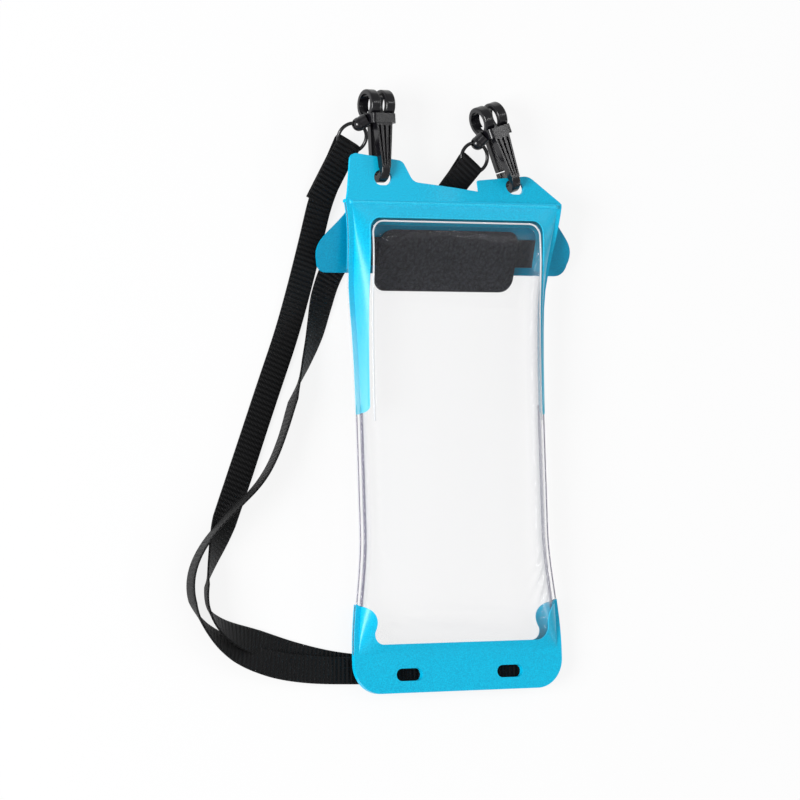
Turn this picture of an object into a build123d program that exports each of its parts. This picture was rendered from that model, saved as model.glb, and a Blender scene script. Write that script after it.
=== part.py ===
"""Waterproof phone pouch of clear film with welded colour frames, on a neck strap with two snap hooks.

The pouch lies on its back. +Z is up, out of the front window, and +Y runs from the foot to the hooks.
Sizes are in millimetres. While it is built, y is measured from the foot's edge, and every piece is
moved at the end so that the origin is the centre of the flat back.
"""

import os
from math import atan, cos, degrees, radians, sin, tan

from build123d import *

# Pouch: overall sizes
CREASE_Y = 180.0
CREASE_HALF = 46.8
WAIST_IN = 5.8
WAIST_HALF = CREASE_HALF - WAIST_IN
FOOT_IN = 1.8
FOOT_HALF = CREASE_HALF - FOOT_IN
FLANGE_Y = 14.5
SEAM_Z = 5.0
CREASE_SEAM_Z = 12.5
PUFF_Z = 15.5
FILM = 0.5
SKIN = 0.5
WELD = 2.5
FRONT_SHOULDER = 11.0
REAR_SHOULDER = 6.0
FOOT_RISE = 45.0
FOOT_DROP = 17.0
TOP_FALL = 30.0
LIFT_RUN = 37.0

# Windows, arms and cheeks of the colour frames
WINDOW_SIDE = 9.1
WINDOW_HALF = CREASE_HALF - WINDOW_SIDE
WINDOW_TOP_GAP = 5.3
WINDOW_FOOT_GAP = 3.5
WINDOW_R = 4.5
ARM_LENGTH = 77.5
ARM_TIP_R = 3.0
CHEEK_HEIGHT = 20.0
REAR_ARM_LENGTH = 24.0

# Foot flange and its two slots
FLANGE_R = 11.0
SLOT_IN = 23.2
SLOT_X = FOOT_HALF - SLOT_IN
SLOT_Y = 6.7
SLOT_LENGTH = 11.2
SLOT_WIDTH = 4.6

# Closure flap folded over the back, and its hook-and-loop strips
FLAP_LENGTH = 25.0
FLAP = 0.8
FLAP_LIFT = 1.5
CREASE_CLEAR = 0.1
EAR_OUT = 7.6
EAR_HALF = CREASE_HALF + EAR_OUT
EAR_TOP = 9.0
EAR_R = 4.5
HOOK_STRIP_IN = 4.8
HOOK_STRIP_WIDTH = 2 * (CREASE_HALF - HOOK_STRIP_IN)
HOOK_STRIP_HEIGHT = 10.0
HOOK_STRIP = 1.2
LOOP_STRIP_IN = 16.8
LOOP_STRIP_WIDTH = 2 * (CREASE_HALF - LOOP_STRIP_IN)
LOOP_STRIP_HEIGHT = 22.0
LOOP_STRIP = 1.0
STRIP_TOP_GAP = 9.4
STRIP_R = 5.0

# Fin above the crease
FIN = 1.1
BEAD = 1.2
LEFT_TAB = 18.3
LEFT_TAB_WIDTH = 24.8
LEFT_TAB_IN = CREASE_HALF - LEFT_TAB_WIDTH
RIGHT_TAB = 12.0
RIGHT_TAB_WIDTH = 35.3
RIGHT_TAB_OUT = 11.3
RIGHT_TAB_IN = CREASE_HALF - RIGHT_TAB_WIDTH
VALLEY = 5.6
RIGHT_LEAN = 22.0
FIN_R = 2.6

# Snap hooks
EYELET_IN = (15.8, 18.8)
EYELET_X = (EYELET_IN[0] - CREASE_HALF, CREASE_HALF - EYELET_IN[1])
EYELET_Y = (9.3, 7.4)
EYELET_LENGTH = 7.5
EYELET_WIDTH = 5.6
HOOK_R = 3.6
HOOK_BAR = 2.8
HOOK_BAR_WIDTH = 3.6
HOOK_ARM_WIDTH = 6.8
HOOK_ARM = 16.5
HOOK_CLEAR = 0.3
HOOK_TILT = (2.0, 4.5)
HOOK_TURN = (0.0, 17.0)
HOOK_NOSE = 3.4
CHANNEL = 0.9
CHANNEL_DEPTH = 0.9
HEAD_WIDTH = 10.2
HEAD_HEIGHT = 3.6
HEAD_LIP = 0.6
EAR_LOOP_D = 11.4
EAR_LOOP_HOLE = 8.0
EAR_LOOP = 4.0
EAR_SET_BACK = 0.2
EAR_SINK = 0.2
GATE_WIDTH = 3.4
GATE = 2.2
GATE_CLEAR = 0.35
PIN_D = 1.4
PIN_CLEAR = 0.15
SWIVEL_D = 5.0
SWIVEL_LENGTH = 3.6
SWIVEL_EYE = 2.6
RING_D = 12.4
RING_WIRE = 1.35
RING_CLEAR = 0.35

# Neck strap of flat webbing, folded round each ring and sewn
STRAP_WIDTH = 10.0
STRAP = 1.0
FOLD_LENGTH = 17.0
FOLD_TAPER = 5.0
FOLD_REACH = 4.4
FOLD_R = 1.1
FOLD_CLEAR = 0.05
STITCH = 0.3
STITCH_BARS = 3

# Route of the strap over the ground: x, y, height of its lower edge, and its roll in degrees
ROUTE = [
    (-50.5, 184.0, 1.3, 2),
    (-55.0, 167.0, 0.4, 0),
    (-60.5, 149.5, 0.3, 0),
    (-66.5, 132.0, 0.2, 0),
    (-73.8, 114.5, 0.0, 0),
    (-80.6, 98.0, 0.0, 0),
    (-87.6, 81.0, 0.0, 2),
    (-94.6, 64.5, 0.35, 6),
    (-99.6, 52.5, 0.4, 58),
    (-103.6, 41.0, 0.0, 80),
    (-102.8, 31.5, 0.0, 72),
    (-95.0, 24.4, 0.15, 48),
    (-82.0, 19.6, 0.15, 20),
    (-66.0, 15.2, 0.0, 0),
    (-46.0, 13.4, 0.0, 0),
    (-22.0, 14.4, 0.0, 0),
    (2.0, 14.8, 0.0, 0),
    (21.0, 14.0, 0.0, 0),
    (35.0, 10.4, 0.05, 0),
    (35.0, 10.4, 2.2, 0),
    (21.0, 13.8, 1.4, 0),
    (2.0, 14.5, 1.2, 0),
    (-22.0, 14.0, 1.2, 0),
    (-44.0, 11.8, 1.3, 0),
    (-62.0, 10.2, 1.5, 0),
    (-78.0, 12.6, 1.4, -18),
    (-93.0, 17.6, 0.4, -46),
    (-105.0, 25.0, 0.2, -70),
    (-112.6, 35.0, 0.0, -86),
    (-112.4, 46.0, 0.0, -88),
    (-105.6, 57.0, 0.4, -80),
    (-95.0, 67.6, 2.2, -74),
    (-84.6, 76.0, 2.2, -74),
    (-76.8, 84.8, 0.2, -76),
    (-71.4, 95.6, 0.0, -82),
    (-67.0, 108.0, 0.0, -78),
    (-61.0, 121.0, 0.15, -60),
    (-55.4, 133.0, 0.15, -30),
    (-51.5, 145.0, 0.0, -6),
    (-47.0, 155.5, 0.0, 0),
    (-40.0, 164.5, 0.0, 0),
    (-29.0, 170.0, 0.0, 0),
    (-16.0, 173.5, 0.1, 0),
    (-3.0, 177.0, 0.9, 0),
]


def smooth(start, end, at):
    """A share from 0 at start to 1 at end, level at both."""
    t = min(max((at - start) / (end - start), 0.0), 1.0)
    return t * t * (3 - 2 * t)


FLAP_EDGE_Y = CREASE_Y - FLAP_LENGTH
STRIP_TOP_Y = CREASE_Y - STRIP_TOP_GAP
FLAP_INNER_TOP_Z = CREASE_SEAM_Z - FILM - SKIN
FLAP_RISE = FLAP_INNER_TOP_Z - FLAP - CREASE_CLEAR - FLAP_LIFT
FLAP_SLOPE = atan(FLAP_RISE / FLAP_LENGTH)
STACK = (FLAP + HOOK_STRIP + LOOP_STRIP) / cos(FLAP_SLOPE)
LIFT_Y = FLAP_EDGE_Y - (FLAP_LIFT + STACK) / tan(FLAP_SLOPE)
FRONT_CREASE_Z = CREASE_SEAM_Z + FILM + SKIN
BACK_CENTRE_Y = (FLANGE_Y + FOOT_DROP + LIFT_Y) / 2


def half_width(y):
    """Half the pouch's width: a wide foot, a narrow waist, and a mouth that flares to the crease."""
    foot = 1 - smooth(FLANGE_Y, FLANGE_Y + FOOT_RISE, y)
    mouth = max(0.0, 2 * y / CREASE_Y - 1) ** 2.8
    return WAIST_HALF + (FOOT_HALF - WAIST_HALF) * foot + (CREASE_HALF - WAIST_HALF) * mouth


def seam_z(y):
    """Height of the side seam, which lifts over the folded flap."""
    return SEAM_Z + (CREASE_SEAM_Z - SEAM_Z) * smooth(CREASE_Y - LIFT_RUN, CREASE_Y, y)


def front_z(y):
    """Height of the front film along the middle."""
    swell = 1 - (1 - min(1.0, (y - FLANGE_Y) / FOOT_RISE)) ** 2.5
    low = SEAM_Z + FILM
    top = low + (PUFF_Z - low) * swell
    fall = max(0.0, (y - CREASE_Y + TOP_FALL) / TOP_FALL) ** 2
    return top - (PUFF_Z - CREASE_SEAM_Z - FILM) * fall


def rear_z(y):
    """Height of the rear film along the middle: flat on the ground, then up over flap and strips."""
    if y <= LIFT_Y:
        return (SEAM_Z - FILM) * (1 - smooth(FLANGE_Y, FLANGE_Y + FOOT_DROP, y))
    strips_end = (STRIP_TOP_Y - LIFT_Y) * tan(FLAP_SLOPE)
    if y <= STRIP_TOP_Y:
        return (y - LIFT_Y) * tan(FLAP_SLOPE)
    share = (y - STRIP_TOP_Y) / (CREASE_Y - STRIP_TOP_Y)
    return strips_end + (CREASE_SEAM_Z - FILM - strips_end) * share


def stations(first, last):
    """Places of the cross-sections between two heights, closest near the foot and the crease."""
    foot = [FLANGE_Y + FOOT_RISE * s for s in (0, 0.04, 0.1, 0.17, 0.25, 0.35, 0.48, 0.7, 1)]
    middle = [LIFT_Y - (LIFT_Y - foot[-1]) * s for s in (0.75, 0.5, 0.25, 0.1, 0)]
    rise = [LIFT_Y + (STRIP_TOP_Y - LIFT_Y) * s for s in (0.25, 0.5, 0.75, 1)]
    crease = [STRIP_TOP_Y + (CREASE_Y - STRIP_TOP_Y) * s for s in (0.35, 0.7, 1)]
    inside = [y for y in foot + middle + rise + crease if first + 0.4 < y < last - 0.4]
    return [first, *inside, last]


def shoulder(x0, z0, x1, z1, y):
    """A quarter-round curve that leaves (x0, z0) upright and reaches (x1, z1) level."""
    k = 0.55
    return Bezier(
        (x0, y, z0), (x0, y, z0 + k * (z1 - z0)), (x1 + (1 - k) * (x0 - x1), y, z1), (x1, y, z1)
    )


def section(y, side, grow, hollow=False):
    """Outline of one half of the pouch at y. side is 1 for the front half and -1 for the rear.

    grow is how far the outline lies outside the film's outer face. A hollow outline is the pocket.
    """
    width = half_width(y)
    seam = seam_z(y)
    far = (front_z(y) if side > 0 else rear_z(y)) + side * grow
    foot = seam if hollow else seam + side * (FILM + grow)
    root = width - WELD + grow
    flat = width - WELD - (FRONT_SHOULDER if side > 0 else REAR_SHOULDER)
    edges = [
        shoulder(-root, foot, -flat, far, y),
        Line((-flat, y, far), (flat, y, far)),
        shoulder(root, foot, flat, far, y),
    ]
    if hollow:
        return Wire([*edges, Line((-root, y, seam), (root, y, seam))])
    sides = [
        Polyline((s * width, y, seam), (s * width, y, foot), (s * root, y, foot)) for s in (-1, 1)
    ]
    return Wire([*edges, *sides[0].edges(), *sides[1].edges(), Line((-width, y, seam), (width, y, seam))])


def half_pouch(side, grow, first=FLANGE_Y):
    """Solid under (or over) one film, grown by grow, from first to the crease."""
    return Solid.make_loft([section(y, side, grow) for y in stations(first, CREASE_Y)], ruled=True)


def pocket(side):
    """The hollow that one film leaves inside the pouch."""
    first = FLANGE_Y + WELD
    last = CREASE_Y - WELD
    cuts = [section(y, side, -FILM, hollow=True) for y in stations(first, last)]
    return Solid.make_loft(cuts, ruled=True)


def column(sketch, low=-5.0, high=40.0):
    """The space above and below a flat outline."""
    return extrude(Pos(0, 0, low) * sketch, high - low)


def film(side):
    """One clear film: its outer shape less the pocket."""
    return half_pouch(side, 0) - pocket(side)


def frame_outline(window_top, window_half, arm_length):
    """A band below the crease with two arms down the sides, round the top of a window."""
    low = CREASE_Y - arm_length
    wide = 2 * EAR_HALF
    window_height = window_top - low + 2 * WINDOW_R
    band = Pos(0, CREASE_Y - arm_length / 2) * Rectangle(wide, arm_length)
    window = RectangleRounded(2 * window_half, window_height, WINDOW_R)
    outline = band - Pos(0, window_top - window_height / 2) * window
    tips = [v for v in outline.vertices() if abs(v.Y - low) < 0.01 and abs(v.X) < window_half + 0.1]
    return fillet(tips, ARM_TIP_R)


def cheek_outline():
    """The foot band with a cheek at each side, whose inner edge leans outwards in an S."""
    top = FLANGE_Y + CHEEK_HEIGHT
    sill = FLANGE_Y + WINDOW_FOOT_GAP
    wide = 2 * EAR_HALF
    out = half_width(top)
    band = Pos(0, (FLANGE_Y + sill) / 2) * Rectangle(wide, sill - FLANGE_Y)
    curve = Spline(
        (WINDOW_HALF, sill + WINDOW_R),
        (WINDOW_HALF + 1.2, sill + 0.6 * CHEEK_HEIGHT),
        (out + 0.5, top - 1.4),
        (EAR_HALF, top),
    )
    corner = CenterArc((WINDOW_HALF - WINDOW_R, sill + WINDOW_R), WINDOW_R, 270, 90)
    rest = Polyline((EAR_HALF, top), (EAR_HALF, sill), (WINDOW_HALF - WINDOW_R, sill))
    cheek = make_face([curve, corner, rest])
    return band + cheek + mirror(cheek, Plane.YZ)


def flange(side):
    """One half of the flat welded foot, with its two slots."""
    thick = FILM + SKIN
    sheet = Pos(0, FLANGE_Y / 2) * Rectangle(2 * FOOT_HALF, FLANGE_Y)
    sheet = fillet([v for v in sheet.vertices() if v.Y < 0.01], FLANGE_R)
    slots = [Pos(s * SLOT_X, SLOT_Y) * SlotOverall(SLOT_LENGTH, SLOT_WIDTH) for s in (-1, 1)]
    return extrude(Pos(0, 0, SEAM_Z if side > 0 else SEAM_Z - thick) * (sheet - slots), thick)


def foot_frame(side):
    """Colour frame of the foot on one side of the pouch: flange, band and cheeks."""
    skin = half_pouch(side, SKIN) - half_pouch(side, 0)
    return (skin & column(cheek_outline())) + flange(side)


def fin_lean(x):
    """How far the fin leans back at x: upright on the left, leaning on the right."""
    return RIGHT_LEAN * smooth(-CREASE_HALF / 3, CREASE_HALF / 2, x)


def fin_z(x, y):
    """Height of the fin's middle layer at x, y."""
    return FRONT_CREASE_Z - FIN / 2 - (y - CREASE_Y) * tan(radians(fin_lean(x)))


def fin_outline():
    """Outline of the fin: a tall tab on the left, a valley, and a lower tab on the right."""
    y = CREASE_Y
    points = [
        (-CREASE_HALF, y),
        (-CREASE_HALF + 0.8, y + 4),
        (-CREASE_HALF + 2.4, y + LEFT_TAB),
        (-LEFT_TAB_IN - 0.4, y + LEFT_TAB - 2.6),
        (-LEFT_TAB_IN + 4, y + VALLEY + 2.4),
        (0, y + VALLEY + 0.8),
        (RIGHT_TAB_IN, y + VALLEY - 0.4),
        (RIGHT_TAB_IN + 0.4, y + RIGHT_TAB - 2.4),
        (CREASE_HALF - RIGHT_TAB_OUT, y + RIGHT_TAB),
        (CREASE_HALF, y + 1.6),
        (CREASE_HALF, y),
    ]
    radii = [1.0, FIN_R, FIN_R * 1.3, FIN_R * 1.6, FIN_R, 0.5, 1.0, FIN_R * 1.9, 0.6]
    edge = FilletPolyline(*points, radius=radii)
    return make_face([edge, Line(points[-1], points[0])])


def fin():
    """The sheet above the crease, a little twisted, with a slot for each hook."""
    reach = LEFT_TAB + 4
    xs = [CREASE_HALF * s for s in (-1.02, -0.33, -0.16, 0, 0.16, 0.33, 0.5, 0.75, 1.02)]
    cuts = []
    for x in xs:
        far = CREASE_Y + reach
        near_z, far_z = fin_z(x, CREASE_Y), fin_z(x, far)
        half = FIN / 2
        cuts.append(
            Wire.make_polygon(
                [
                    (x, CREASE_Y, near_z - half),
                    (x, far, far_z - half),
                    (x, far, far_z + half),
                    (x, CREASE_Y, near_z + half),
                ]
            )
        )
    sheet = Solid.make_loft(cuts, ruled=True) & column(fin_outline(), -20, 40)
    eyelets = [
        column(Pos(x, CREASE_Y + up) * SlotOverall(EYELET_LENGTH, EYELET_WIDTH), -20, 40)
        for x, up in zip(EYELET_X, EYELET_Y)
    ]
    return sheet - eyelets


def crease_bead():
    """The folded edge that front, fin, films and flap all meet."""
    low = FLAP_INNER_TOP_Z - FLAP
    bead = Pos(0, CREASE_Y + BEAD / 2, (low + FRONT_CREASE_Z) / 2) * Box(
        2 * CREASE_HALF, BEAD, FRONT_CREASE_Z - low
    )
    edges = bead.edges().filter_by(Axis.X).sort_by(Axis.Y)[-2:].sort_by(Axis.Z)
    return fillet(edges[0], BEAD * 0.8)


def top_frame():
    """Colour frame of the front: fin, band over the window and two arms."""
    skin = half_pouch(1, SKIN) - half_pouch(1, 0)
    outline = frame_outline(CREASE_Y - WINDOW_TOP_GAP, WINDOW_HALF, ARM_LENGTH)
    return (skin & column(outline)) + crease_bead() + fin()


def rear_top_frame():
    """Colour frame of the back under the flap: a band and two short arms."""
    skin = half_pouch(-1, SKIN) - half_pouch(-1, 0)
    outline = frame_outline(STRIP_TOP_Y + 1.5, WINDOW_HALF, REAR_ARM_LENGTH)
    return skin & column(outline)


def on_flap(sketch, lift, thick):
    """A plate of that outline, seen from above, lying on the flap's slope at a height above its outside."""
    wide = 4 * EAR_HALF
    slope = Pos(0, FLAP_EDGE_Y, FLAP_LIFT) * Rot(degrees(FLAP_SLOPE), 0, 0)
    return column(sketch) & slope * Pos(0, 0, lift + thick / 2) * Box(wide, wide, thick)


def flap_outline():
    """Outline of the flap: straight lower edge, and an ear at each side with an S-shaped upper edge."""
    y = FLAP_EDGE_Y
    low = Line((0, y), (EAR_HALF - EAR_R, y))
    turn = JernArc(low @ 1, (1, 0), EAR_R, 84)
    up = Spline(
        turn @ 1,
        (EAR_HALF - 0.8, y + EAR_TOP + 3),
        (EAR_HALF - 3, y + EAR_TOP + 5.6),
        (EAR_HALF - 7.2, y + EAR_TOP + 10),
        (CREASE_HALF - 3.5, CREASE_Y),
    )
    close = Polyline(up @ 1, (0, CREASE_Y), (0, y))
    half = make_face([low, turn, up, close])
    return half + mirror(half, Plane.YZ)


def closure_flap():
    """The flap that closes the mouth, folded down over the back."""
    return on_flap(flap_outline(), 0, FLAP)


def hook_strip():
    """The hook half of the closure, welded to the flap."""
    y = STRIP_TOP_Y - HOOK_STRIP_HEIGHT / 2 - LOOP_STRIP_HEIGHT / 8
    patch = RectangleRounded(HOOK_STRIP_WIDTH, HOOK_STRIP_HEIGHT, STRIP_R * 0.9)
    return on_flap(Pos(0, y) * patch, FLAP, HOOK_STRIP)


def loop_strip():
    """The loop half of the closure, welded to the rear film."""
    y = STRIP_TOP_Y - LOOP_STRIP_HEIGHT / 2
    patch = RectangleRounded(LOOP_STRIP_WIDTH, LOOP_STRIP_HEIGHT, STRIP_R)
    return on_flap(Pos(0, y) * patch, FLAP + HOOK_STRIP, LOOP_STRIP)


HOOK_Z = HOOK_R - HOOK_BAR / 2 - HOOK_CLEAR - FIN / 2
HOOK_Y = HOOK_R - (HOOK_R**2 - HOOK_Z**2) ** 0.5
HEAD_Y = HOOK_R + HOOK_ARM
HEAD_TOP = HEAD_Y + HEAD_HEIGHT
HOOK_BACK = -HOOK_R - HOOK_BAR / 2
HOOK_FRONT = HOOK_R + HOOK_BAR / 2 + HEAD_LIP
GATE_GAP = GATE_WIDTH / 2 + GATE_CLEAR
GATE_TIP = HOOK_R + HOOK_NOSE + GATE_CLEAR
PIN_Y = HEAD_Y + HEAD_HEIGHT / 2
PIN_Z = -HOOK_R
SWIVEL_START = Vector(-HEAD_WIDTH / 2 + 0.4, HEAD_Y + HEAD_HEIGHT / 2, 0.6)
SWIVEL_WAY = Vector(-0.72, -0.45, -0.53).normalized()
RING_R = (RING_D - RING_WIRE) / 2
RING_WAY = Vector(-0.3, -0.85, -0.45), Vector(-0.47, -0.85, -0.22)


def hook_arm():
    """The front arm: tapered, with long channels moulded into its face."""
    top, low = HOOK_ARM_WIDTH / 2, HOOK_BAR_WIDTH / 2
    corners = [(-low, HOOK_R), (low, HOOK_R), (top, HEAD_Y), (-top, HEAD_Y)]
    outline = make_face(Polyline(*corners, close=True))
    arm = extrude(Pos(0, 0, HOOK_R - HOOK_BAR / 2) * outline, HOOK_BAR)
    for share in (-0.62, 0, 0.62):
        half = CHANNEL / 2
        points = [
            (share * low * 0.9 - half * 0.5, HOOK_R + 1),
            (share * low * 0.9 + half * 0.5, HOOK_R + 1),
            (share * top + half, HEAD_Y - 0.8),
            (share * top - half, HEAD_Y - 0.8),
        ]
        face = make_face(Polyline(*points, close=True))
        arm -= extrude(Pos(0, 0, HOOK_R + HOOK_BAR / 2 - CHANNEL_DEPTH) * face, CHANNEL_DEPTH)
    return arm


def hook_bend():
    """The bend that passes through the fin, and the nose that the gate closes on."""
    bar = Pos(0, HOOK_R, HOOK_R) * Rot(90, 0, 0) * RectangleRounded(HOOK_BAR_WIDTH, HOOK_BAR, 0.6)
    turn = revolve(bar, Axis((0, HOOK_R, 0), (1, 0, 0)), 180)
    nose = Pos(0, HOOK_R + HOOK_NOSE / 2, -HOOK_R) * Rot(90, 0, 0)
    nose = nose * extrude(RectangleRounded(HOOK_BAR_WIDTH, HOOK_BAR, 0.6), HOOK_NOSE / 2, both=True)
    return turn, nose


def hook_head():
    """The head: a block with two looped ears, forked at the back for the gate."""
    deep = HOOK_FRONT - HOOK_BACK
    middle = (HOOK_FRONT + HOOK_BACK) / 2
    block = Pos(0, HEAD_Y + HEAD_HEIGHT / 2, middle) * Box(HEAD_WIDTH, HEAD_HEIGHT, deep)
    block = fillet(block.edges().filter_by(Axis.Y), 1.6)
    fork = Pos(0, HEAD_Y + HEAD_HEIGHT / 2, HOOK_BACK) * Box(2 * GATE_GAP, 2 * HEAD_HEIGHT, deep * 0.84)
    back = HOOK_FRONT - EAR_LOOP_D / 2 - EAR_SET_BACK
    eye = Pos(0, HEAD_TOP + EAR_LOOP_HOLE / 2 - EAR_SINK, back) * Rot(0, 90, 0)
    ears = []
    for s in (-1, 1):
        ear = eye * Pos(0, 0, s * (HEAD_WIDTH - EAR_LOOP) / 2) * Cylinder(EAR_LOOP_D / 2, EAR_LOOP)
        ears.append(fillet(ear.edges(), 0.7))
    pin = Pos(0, PIN_Y, PIN_Z) * Rot(0, 90, 0) * Cylinder(PIN_D / 2, 2 * HEAD_WIDTH)
    hole = eye * Cylinder(EAR_LOOP_HOLE / 2, 2 * HEAD_WIDTH)
    return block + ears - fork - pin - hole


def hook_body():
    """The hook as moulded in one piece."""
    turn, nose = hook_bend()
    return hook_arm() + turn + nose + hook_head()


def gate():
    """The sprung gate: a bar on its pin that closes the hook's mouth."""
    bar = Pos(0, (GATE_TIP + PIN_Y) / 2, PIN_Z) * Box(GATE_WIDTH, PIN_Y - GATE_TIP, GATE)
    bar = fillet(bar.edges().filter_by(Axis.X), 0.5)
    boss = Pos(0, PIN_Y, PIN_Z) * Rot(0, 90, 0) * Cylinder(PIN_D / 2 + 0.7, GATE_WIDTH)
    bore = Pos(0, PIN_Y, PIN_Z) * Rot(0, 90, 0) * Cylinder(PIN_D / 2 + PIN_CLEAR, 2 * GATE_WIDTH)
    return bar + boss - bore


def gate_pin():
    """The pin that the gate turns on, held in both sides of the head."""
    return Pos(0, PIN_Y, PIN_Z) * Rot(0, 90, 0) * Cylinder(PIN_D / 2, HEAD_WIDTH)


def ring_plane(number):
    """Plane of a wire ring, which hangs from its swivel's eye towards the strap."""
    way = RING_WAY[number].normalized()
    centre = SWIVEL_START + SWIVEL_WAY * SWIVEL_LENGTH + way * RING_R
    normal = Vector(0, 0, 1) - way * way.Z
    return Plane(origin=centre, x_dir=way, z_dir=normal.normalized())


def swivel(number):
    """The swivel barrel on the head's side, with an eye for the ring."""
    start = Plane(origin=SWIVEL_START, z_dir=SWIVEL_WAY)
    barrel = start * Pos(0, 0, (SWIVEL_LENGTH - 1) / 2) * Cylinder(SWIVEL_D / 2, SWIVEL_LENGTH - 1)
    eye = start * Pos(0, 0, SWIVEL_LENGTH) * Sphere(SWIVEL_EYE)
    wide = RING_R - RING_WIRE / 2 - RING_CLEAR, RING_R + RING_WIRE / 2 + RING_CLEAR
    plane = ring_plane(number)
    tunnel = extrude(plane * (Circle(wide[1]) - Circle(wide[0])), RING_WIRE / 2 + RING_CLEAR, both=True)
    return barrel + eye - tunnel - hook_head()


def ring(number):
    """The wire ring between swivel and strap."""
    return ring_plane(number) * Torus(RING_R, RING_WIRE / 2)


def hook_place(number):
    """Where a hook hangs in its slot: 0 is the left hook, 1 the right."""
    x = EYELET_X[number]
    y = CREASE_Y + EYELET_Y[number]
    swing = Rot(-HOOK_TILT[number], 0, 0) * Rot(0, 0, HOOK_TURN[number])
    return Pos(x, y, fin_z(x, y)) * swing * Pos(0, -HOOK_Y, -HOOK_Z)


def ring_far(number):
    """The point of a ring's wire nearest to the strap's way, the way to it, and the wire's normal."""
    place = hook_place(number)
    local = ring_plane(number)
    centre = (place * Pos(local.origin)).position
    swing = Location((0, 0, 0), place.orientation)
    normal = (swing * Pos(local.z_dir)).position
    aim = route_point(0 if number == 0 else -1) - centre
    way = (aim - normal * aim.dot(normal)).normalized()
    return centre + way * RING_R, way, normal


def route_point(index):
    """Middle of the strap at one point of its route."""
    x, y, lift, roll = ROUTE[index]
    edge = STRAP_WIDTH / 2 * abs(sin(radians(roll))) + STRAP / 2 * abs(cos(radians(roll)))
    return Vector(x, y, lift + edge)


def fold_plane(number):
    """Plane of the sewn fold: x along the strap away from the ring, y across the webbing's thickness."""
    far, _, normal = ring_far(number)
    away = (route_point(0 if number == 0 else -1) - far).normalized()
    across = normal.cross(away).normalized()
    return Plane(origin=far, x_dir=away, z_dir=across)


def strap_fold(number):
    """The strap's end: up to the ring, round its wire and back, doubled flat where it is sewn."""
    inner, outer = FOLD_R, FOLD_R + STRAP
    loop = -FOLD_REACH + outer
    body = Pos(loop, 0) * Circle(outer)
    spread = [(loop, outer), (FOLD_TAPER, STRAP), (FOLD_TAPER, -STRAP), (loop, -outer)]
    wedge = make_face(Polyline(*spread, close=True))
    flat = Pos(FOLD_LENGTH / 2, 0) * Rectangle(FOLD_LENGTH, 2 * STRAP)
    hole = Pos(loop, 0) * Circle(inner)
    narrow = [(loop, inner), (FOLD_TAPER, FOLD_CLEAR), (FOLD_TAPER, -FOLD_CLEAR), (loop, -inner)]
    hole += make_face(Polyline(*narrow, close=True))
    profile = (body + wedge + Pos(FOLD_TAPER, 0) * flat) - hole
    fold = extrude(fold_plane(number) * profile, STRAP_WIDTH / 2, both=True)
    far, way, normal = ring_far(number)
    wire = Plane(origin=far - way * RING_R, x_dir=way, z_dir=normal)
    return fold - wire * Torus(RING_R, RING_WIRE / 2 + FOLD_CLEAR)


def strap_path():
    """The strap's middle line and its roll along it: straight runs joined by the largest arcs that fit."""
    ends = [fold_plane(number).origin + fold_plane(number).x_dir * 2 * FOLD_TAPER for number in (0, 1)]
    points = [ends[0], *[route_point(i) for i in range(len(ROUTE))], ends[1]]
    radii = []
    for before, here, after in zip(points, points[1:], points[2:]):
        runs = (here - before, after - here)
        turn = radians(runs[0].get_angle(runs[1]))
        radii.append(0.45 * min(runs[0].length, runs[1].length) / tan(turn / 2))
    print("strap radii", [round(r, 1) for r in radii])
    path = FilletPolyline(*points, radius=radii)
    return Wire(path.edges()).order_edges(), [0, *[row[3] for row in ROUTE], 0]


def strap_ribbon():
    """The webbing along its path, as short flat lengths between cross-sections."""
    edges, rolls = strap_path()
    spots, corners, gone = [], [0.0], 0.0
    for edge in edges:
        curved = edge.geom_type == GeomType.CIRCLE
        steps = max(1, round(degrees(edge.length / edge.radius) / 14)) if curved else 1
        if curved:
            corners.append(gone + edge.length / 2)
        for k in range(steps):
            spots.append((gone + edge.length * k / steps, edge @ (k / steps), edge % (k / steps)))
        gone += edge.length
    corners.append(gone)
    spots.append((gone, edges[-1] @ 1, edges[-1] % 1))
    print("strap length", round(gone, 1))
    cuts, wide = [], None
    for along, middle, ahead in spots:
        level = Vector(0, 0, 1).cross(ahead)
        if wide is None:
            wide = level.normalized()
        keep = wide - ahead * wide.dot(ahead)
        if level.length > 0.5:
            keep = level if level.dot(wide) > 0 else level * -1
        wide = keep.normalized()
        k = next(i for i in range(1, len(corners)) if along <= corners[i] + 1e-6)
        share = (along - corners[k - 1]) / (corners[k] - corners[k - 1])
        roll = rolls[k - 1] + (rolls[k] - rolls[k - 1]) * share
        side = wide.rotate(Axis((0, 0, 0), tuple(ahead)), roll)
        half = side * (STRAP_WIDTH / 2)
        thick = ahead.cross(side).normalized() * (STRAP / 2)
        front, rear = middle + thick, middle - thick
        cuts.append(Wire.make_polygon([front + half, front - half, rear - half, rear + half], close=True))
    return Solid.make_loft(cuts, ruled=True)


def neck_strap():
    """The whole strap: its length over the ground and the folded ends."""
    ribbon = strap_ribbon()
    strap = ribbon + [strap_fold(number) for number in (0, 1)]
    print("strap volume", round(ribbon.volume, 1))
    return strap


def stitching(number):
    """Rows of thread that close the fold, standing a little proud of the webbing."""
    rows = []
    for k in range(STITCH_BARS):
        x = FOLD_TAPER + 2.5 + k * (FOLD_LENGTH - FOLD_TAPER - 5) / (STITCH_BARS - 1)
        row = Pos(x, STRAP + STITCH / 2, 0) * Box(2 * STITCH, STITCH, 0.8 * STRAP_WIDTH)
        rows.append(fold_plane(number) * row)
    return Compound(children=[row.solid() for row in rows])


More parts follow.
